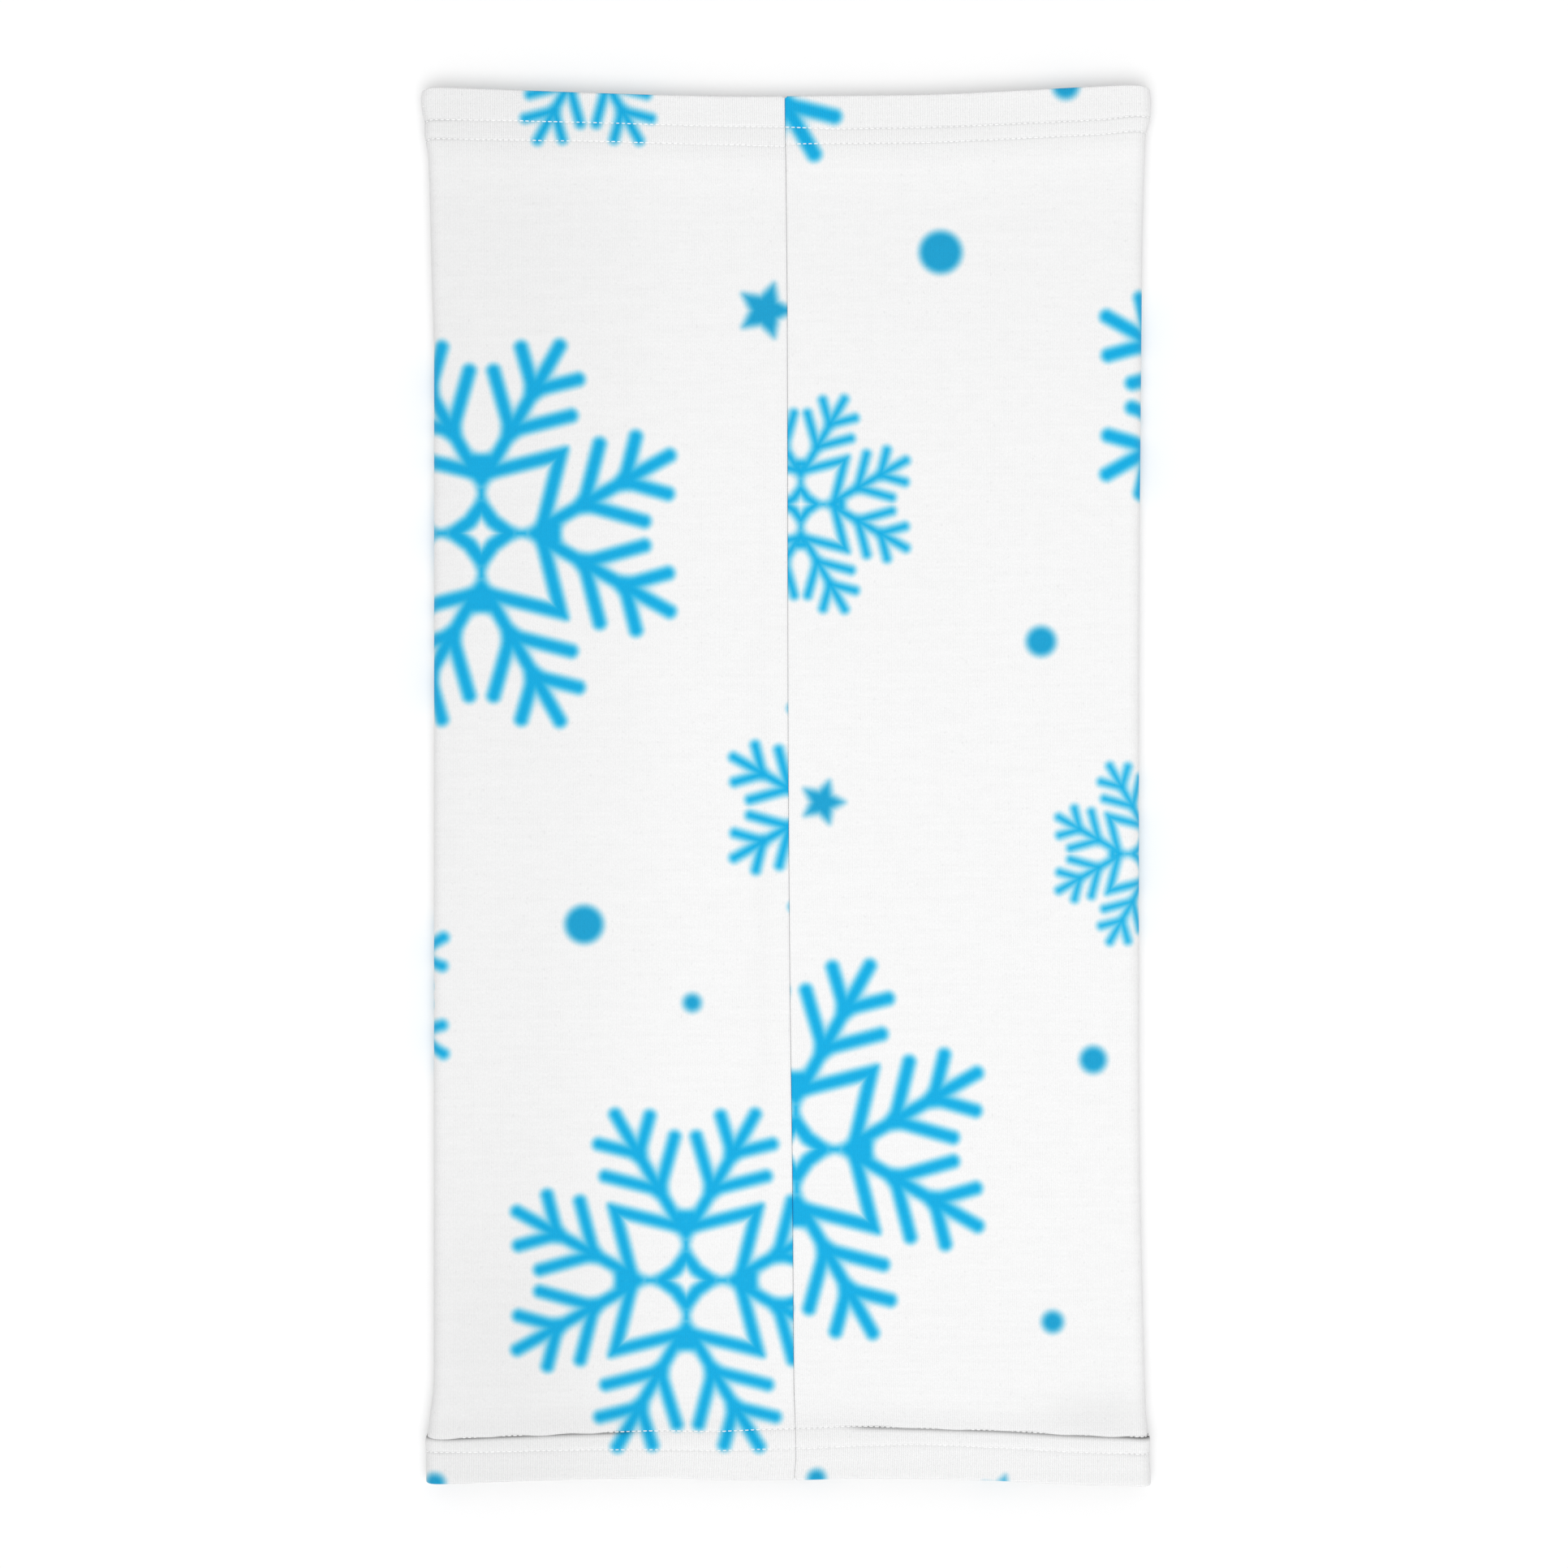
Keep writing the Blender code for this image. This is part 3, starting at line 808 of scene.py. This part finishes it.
def clothObject(name, rows, materials):
    # rows is a list of (places, print places, painted shading of each place, how pressed the row is)
    places, prints, paintedShadings, pressed = [], [], [], []
    for points, uv, paintedShadingsHere, press in rows:
        places.append(points)
        prints.append(uv)
        paintedShadings.append(paintedShadingsHere)
        pressed.append(np.full(len(points), press))
    widths = [len(points) for points in places]
    starts = np.cumsum([0] + widths).tolist()
    ringColumns = 2 * cloth["backColumns"] + 2 + 2 * (cloth["sideColumns"] - 1) + cloth["frontColumns"] + 1

    def stripColumns(row):
        # The left strip at the seam, and the right one, which is as long or one longer
        spare = widths[row] - ringColumns
        return spare // 2, spare - spare // 2

    faces = []
    for row in range(len(rows) - 1):
        leftHere, rightHere = stripColumns(row)
        leftNext, rightNext = stripColumns(row + 1)
        shared = min(rightHere, rightNext)
        here, there = starts[row] + rightHere - shared, starts[row + 1] + rightNext - shared
        for column in range(shared + ringColumns + min(leftHere, leftNext) - 1):
            faces.append((here + column, there + column, there + column + 1, here + column + 1))
    mesh = bpy.data.meshes.new(name)
    points = np.concatenate(places) * mm
    mesh.from_pydata(points.tolist(), [], faces)
    layer = mesh.uv_layers.new(name="clothUV")
    corners = np.zeros(len(mesh.loops), np.int32)
    mesh.loops.foreach_get("vertex_index", corners)
    layer.data.foreach_set("uv", (np.concatenate(prints)[corners] * mm).astype(np.float32).ravel())
    # The painted shading and how pressed each place is, as point attributes
    for label, values in (("paintedShading", paintedShadings), ("pressed", pressed)):
        attribute = mesh.attributes.new(label, "FLOAT", "POINT")
        attribute.data.foreach_set("value", np.concatenate(values).astype(np.float32))
    for material in materials:
        mesh.materials.append(material)
    mesh.shade_smooth()
    piece = addObject(name, mesh)
    wall = piece.modifiers.new("cloth thickness", "SOLIDIFY")
    wall.thickness = cloth["thickness"] * mm
    wall.offset = 0.0
    wall.material_offset = 1
    wall.material_offset_rim = 1
    return piece


def buildHem(name, end, fromTurnedEdge, materials):
    rows = []
    for fromFold, inset, pastFold, form in hemRows(fromTurnedEdge):
        rows.append((*layRow(end, fromFold, inset, pastFold, form), pressedAt(fromFold)))
    return clothObject(name, rows, materials)


def buildBody(materials):
    rows = [(*layRow(ends[place], mark, seamForm=form), pressedAt(mark))
            for place, mark, form in bodyRows()]
    return clothObject("jersey_body", rows, materials)


stitch = {
    "colour": (0.93, 0.93, 0.93),
    "hem": {"Spacing": 2.0, "Length": 1.15, "Thickness": 0.36, "Sink": 0.12, "Rise": 0.3},
    "seam": {"Spacing": 2.0, "Length": 1.495, "Thickness": 0.3, "Sink": 0.1, "Rise": 0.15},
    "unevenness": {"hem": 0.12, "seam": 0.08},
    "clear": 0.02,  # off the cloth
    "atLip": (0.08, 0.62),  # outwards and up, where the body rolls over the band
}

looper = {
    "colour": (0.9, 0.9, 0.91),
    "hem": {"Spacing": 2.0, "Width": 7.0, "Loop": 0.5, "Thickness": 0.26},
    "seam": {"Spacing": 2.0, "Width": 4.6, "Loop": 0.4, "Thickness": 0.26},
    "clear": 0.06,
    "pastEdge": 0.2,  # how far the overlock reaches past the allowances' edges
}


def finishThread(tree, result, shape, material):
    # Every thread ends as real mesh with its material set
    real = addNode(tree, "GeometryNodeRealizeInstances", {0: shape}).outputs[0]
    smooth = addNode(tree, "GeometryNodeSetShadeSmooth", {0: real}).outputs[0]
    done = addNode(tree, "GeometryNodeSetMaterial", {"Geometry": smooth, "Material": material}).outputs[0]
    plug(tree, result[0], done)


def namedVector(tree, name):
    node = addNode(tree, "GeometryNodeInputNamedAttribute", {"Name": name}, data_type="FLOAT_VECTOR")
    return node.outputs[0]


def makeStitchTree():
    tree, given, result = newTree(
        "needle stitches", "GeometryNodeTree",
        [("Path", "shape"), ("Spacing", "float"), ("Length", "float"), ("Thickness", "float"),
         ("Sink", "float"), ("Rise", "float"), ("Unevenness", "float"), ("Seed", "count"),
         ("Material", "material")],
        [("Stitches", "shape")])
    halfLength = times(tree, given["Length"], 0.5)
    down = times(tree, given["Sink"], -1.0)
    arch = addNode(tree, "GeometryNodeCurveQuadraticBezier", {
        "Resolution": 6, "Start": combine(tree, times(tree, halfLength, -1.0), z=down),
        "Middle": combine(tree, z=given["Rise"]), "End": combine(tree, halfLength, z=down)})
    share = addNode(tree, "GeometryNodeSplineParameter").outputs["Factor"]
    fromMiddle = minus(tree, times(tree, share, 2.0), 1.0)
    thinner = doMath(tree, "POWER", doMath(tree, "ABSOLUTE", fromMiddle), 3.0)
    taper = minus(tree, 1.0, times(tree, thinner, 0.55))
    tapered = addNode(tree, "GeometryNodeSetCurveRadius", {"Curve": arch.outputs[0], "Radius": taper})
    outline = addNode(tree, "GeometryNodeCurvePrimitiveCircle", {
        "Resolution": 6, "Radius": times(tree, given["Thickness"], 0.5)})
    one = addNode(tree, "GeometryNodeCurveToMesh", {
        "Curve": tapered.outputs[0], "Profile Curve": outline.outputs[0], "Fill Caps": True})

    line = addNode(tree, "GeometryNodeMeshToCurve", {0: given["Path"]}).outputs[0]
    points = addNode(tree, "GeometryNodeCurveToPoints", {"Curve": line, "Length": given["Spacing"]},
                     mode="LENGTH")
    turned = addNode(tree, "FunctionNodeAlignRotationToVector", {"Vector": points.outputs["Tangent"]},
                     axis="X")
    upright = addNode(tree, "FunctionNodeAlignRotationToVector", {
        "Rotation": turned.outputs[0], "Vector": namedVector(tree, "outward")}, axis="Z", pivot_axis="X")
    uneven = addNode(tree, "FunctionNodeRandomValue", {
        2: minus(tree, 1.0, given["Unevenness"]),
        3: doMath(tree, "ADD", 1.0, given["Unevenness"]), "Seed": given["Seed"]}, data_type="FLOAT")
    laid = addNode(tree, "GeometryNodeInstanceOnPoints", {
        "Points": points.outputs[0], "Instance": one.outputs[0], "Rotation": upright.outputs[0],
        "Scale": uneven.outputs[1]})
    finishThread(tree, result, laid.outputs[0], given["Material"])
    return tree


def makeLooperTree():
    # One thread that swings from side to side along its path, with a small loop at each turn
    tree, given, result = newTree(
        "looper thread", "GeometryNodeTree",
        [("Path", "shape"), ("Spacing", "float"), ("Width", "float"), ("Loop", "float"),
         ("Thickness", "float"), ("Material", "material")],
        [("Thread", "shape")])
    line = addNode(tree, "GeometryNodeMeshToCurve", {0: given["Path"]}).outputs[0]
    fine = addNode(tree, "GeometryNodeResampleCurve", {
        "Curve": line, "Length": doMath(tree, "DIVIDE", given["Spacing"], 10.0)}, mode="LENGTH").outputs[0]
    along = addNode(tree, "GeometryNodeSplineParameter").outputs["Length"]
    phase = times(tree, doMath(tree, "DIVIDE", along, given["Spacing"]), 2 * math.pi)
    halfWidth = times(tree, given["Width"], 0.5)
    swing = times(tree, doMath(tree, "COSINE", phase), halfWidth)
    back = times(tree, doMath(tree, "SINE", times(tree, phase, 2.0)), given["Loop"])
    sideways = doVector(tree, "SCALE", namedVector(tree, "across"), scale=swing)
    tangent = addNode(tree, "GeometryNodeInputTangent").outputs[0]
    forwards = doVector(tree, "SCALE", tangent, scale=back)
    moved = addNode(tree, "GeometryNodeSetPosition", {
        "Geometry": fine, "Offset": doVector(tree, "ADD", sideways, forwards)}).outputs[0]
    outline = addNode(tree, "GeometryNodeCurvePrimitiveCircle", {
        "Resolution": 4, "Radius": times(tree, given["Thickness"], 0.5)})
    thread = addNode(tree, "GeometryNodeCurveToMesh", {"Curve": moved, "Profile Curve": outline.outputs[0]})
    finishThread(tree, result, thread.outputs[0], given["Material"])
    return tree


def threadPath(name, points, closed, **directions):
    # A line for a thread to follow, with the directions that its tree reads
    mesh = bpy.data.meshes.new(name)
    count = len(points)
    edges = [(i, (i + 1) % count) for i in range(count if closed else count - 1)]
    mesh.from_pydata((np.array(points) * mm).tolist(), edges, [])
    for label, vectors in directions.items():
        data = mesh.attributes.new(label, "FLOAT_VECTOR", "POINT")
        data.data.foreach_set("vector", np.array(vectors, np.float32).ravel())
    return addObject(name + "_path", mesh)


def grow(name, path, tree, inputs):
    # Runs the tree on the path and keeps its result as a plain mesh
    modifier = path.modifiers.new("thread", "NODES")
    modifier.node_group = tree
    for item in tree.interface.items_tree:
        if item.in_out == "INPUT" and item.name in inputs:
            modifier[item.identifier] = inputs[item.name]
    bpy.context.view_layer.update()
    grown = path.evaluated_get(bpy.context.evaluated_depsgraph_get())
    mesh = bpy.data.meshes.new_from_object(grown)
    mesh.name = name
    material = inputs["Material"]
    if material.name not in [m.name for m in mesh.materials if m]:
        mesh.materials.append(material)
    piece = addObject(name, mesh)
    bpy.data.objects.remove(path)
    report(f"{name}: {len(mesh.polygons)} faces")
    return piece


def sew(kit, kind, part, name, points, closed, seed=0, **directions):
    # A row of needle stitches, or one looper thread, along the points
    sizes, tree, material = kit[kind]
    inputs = {label: size * mm for label, size in sizes[part].items()}
    inputs.update({"Unevenness": stitch["unevenness"][part], "Seed": seed, "Material": material})
    return grow(name, threadPath(name, points, closed, **directions), tree, inputs)


def unitLength(vectors):
    return vectors / np.linalg.norm(vectors, axis=1)[:, None]


def hemLine(end, fromFold, inset):
    # Places right round a hem, and which way is out of the cloth there
    ring = layRow(end, fromFold, inset, seamForm="flat")[0]
    outside = layRow(end, fromFold, inset - 0.2, seamForm="flat")[0]
    return ring, unitLength(outside - ring)


def seamRun(offset, depth):
    # Places down the seam, inside the tube
    points = []
    for place, mark, form in bodyRows():
        if form == "sewn":
            station = ends[place]["sign"] * (halfPanel - mark)
            x = np.array([float(through(seam["line"], station)) + offset])
            y, z = backSurface(ends[place], x, mark)
            points.append((x[0], y[0], z[0] - depth))
    return np.array(points)


def buildHemThreads(place, kit):
    made = []
    end = ends[place]
    for order, mark, seed in (("outer", hem["outerNeedle"], 3), ("inner", hem["innerNeedle"], 8)):
        points, outward = hemLine(end, mark, -cloth["thickness"] / 2 - stitch["clear"])
        if order == "inner":
            # Where the body rolls over the band, the stitches stand at the foot of its lip
            onBack = np.clip((outward[:, 2] - 0.5) * 4, 0, 1) * through(end["rollOver"], points[:, 0])
            points[:, 1] += end["sign"] * stitch["atLip"][0] * onBack
            points[:, 2] += stitch["atLip"][1] * onBack
        name = f"{place}_hem_{order}_stitches"
        made.append(sew(kit, "stitch", "hem", name, points, True, seed, outward=outward))
    inside = cloth["plyPitch"] + cloth["thickness"] / 2 + looper["hem"]["Thickness"] / 2 + looper["clear"]
    middle = (hem["outerNeedle"] + hem["innerNeedle"]) / 2
    points, _ = hemLine(end, middle, inside)
    ahead, _ = hemLine(end, middle - 1.0, inside)
    across = unitLength(ahead - points)
    made.append(sew(kit, "looper", "hem", f"{place}_hem_looper", points, True, across=across))
    return made


def buildSeamThreads(kit):
    made = []
    width, thickness = looper["seam"]["Width"], looper["seam"]["Thickness"]
    middle = -seam["allowance"] + width / 2 - looper["pastEdge"]
    lowest = seam["underDepth"] + cloth["thickness"] / 2 + thickness / 2 + looper["clear"]
    for order, depth in (("upper", seam["overDepth"] / 2), ("lower", lowest)):
        points = seamRun(middle, depth)
        across = [(1, 0, 0)] * len(points)
        made.append(sew(kit, "looper", "seam", f"back_seam_{order}_looper", points, False, across=across))
    for order, offset, seed in (("first", -2.5, 5), ("second", -4.7, 6)):
        points = seamRun(offset, lowest + thickness + 0.1)
        outward = [(0, 0, -1)] * len(points)
        name = f"back_seam_{order}_stitches"
        made.append(sew(kit, "stitch", "seam", name, points, False, seed, outward=outward))
    return made


studio = {
    "floor": 16.0,  # metres across
    "floorWhite": 0.85,
    "world": 0.62,
    "sun": 1.9,
    "sunAngle": 60.0,  # degrees across, for soft shadows
    "sunTilt": 16.0,  # degrees from straight above, towards the bottom hem
    "viewWidth": 552.6,  # mm seen across, level with the top of the gaiter
    "viewCentre": (-1.0, 1.0),
    "lens": 85.0,
    "sensor": 36.0,
}


def buildStudio():
    scene = bpy.context.scene
    size = studio["floor"] / 2
    mesh = bpy.data.meshes.new("floor")
    corners = [(-size, -size, 0), (size, -size, 0), (size, size, 0), (-size, size, 0)]
    mesh.from_pydata(corners, [], [(0, 1, 2, 3)])
    floor = addObject("floor", mesh)
    material, _, shader = newMaterial("paper floor")
    shader.inputs["Base Color"].default_value = (*[studio["floorWhite"]] * 3, 1)
    shader.inputs["Roughness"].default_value = 1.0
    shader.inputs["Specular IOR Level"].default_value = 0.0
    mesh.materials.append(material)

    world = bpy.data.worlds.new("studio")
    world.use_nodes = True
    background = world.node_tree.nodes["Background"]
    background.inputs["Color"].default_value = (1, 1, 1, 1)
    background.inputs["Strength"].default_value = studio["world"]
    scene.world = world

    lamp = bpy.data.lights.new("overhead light", "SUN")
    lamp.energy = studio["sun"]
    lamp.angle = math.radians(studio["sunAngle"])
    light = addObject("overhead light", lamp)
    light.location = (0, 0, 1.5)
    light.rotation_euler = (math.radians(studio["sunTilt"]), 0, 0)

    camera = bpy.data.cameras.new("camera")
    camera.lens = studio["lens"]
    camera.sensor_width = studio["sensor"]
    eye = addObject("camera", camera)
    distance = studio["viewWidth"] * mm * studio["lens"] / studio["sensor"]
    x, y = studio["viewCentre"]
    eye.location = (x * mm, y * mm, topOfBox * mm + distance)
    scene.camera = eye
    scene.view_settings.view_transform = "Standard"


def main():
    printed, wrongSide = makePrintedJersey(), makeWrongSide()
    needleThread = makeThreadMaterial("sewing thread", stitch["colour"])
    looperThread = makeThreadMaterial("looper thread", looper["colour"])
    report("materials ready")

    body = buildBody([printed, wrongSide])
    topHem = buildHem("top_hem", ends["top"], True, [printed, wrongSide])
    bottomHem = buildHem("bottom_hem", ends["bottom"], False, [printed, wrongSide])
    report("cloth laid")

    kit = {"stitch": (stitch, makeStitchTree(), needleThread),
           "looper": (looper, makeLooperTree(), looperThread)}
    topThreads = buildHemThreads("top", kit)
    bottomThreads = buildHemThreads("bottom", kit)
    seamThreads = buildSeamThreads(kit)
    report("threads sewn")

    made = [(piece, "knit_panel", "printed_jersey") for piece in (body, topHem, bottomHem)]
    hemParts = ("outer_needle", "inner_needle", "looper")
    seamParts = ("upper_looper", "lower_looper", "first_needle", "second_needle")
    for threads, place, parts in ((topThreads, "top_hem", hemParts), (bottomThreads, "bottom_hem", hemParts),
                                  (seamThreads, "back_seam", seamParts)):
        for piece, part in zip(threads, parts):
            slot = "looper_thread" if "looper" in part else "sewing_thread"
            made.append((piece, f"{place}_{part}_thread", slot))
    for piece, node, slot in made:
        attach(piece, "root")
        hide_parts(node)

    buildStudio()
    report("studio set")


main()
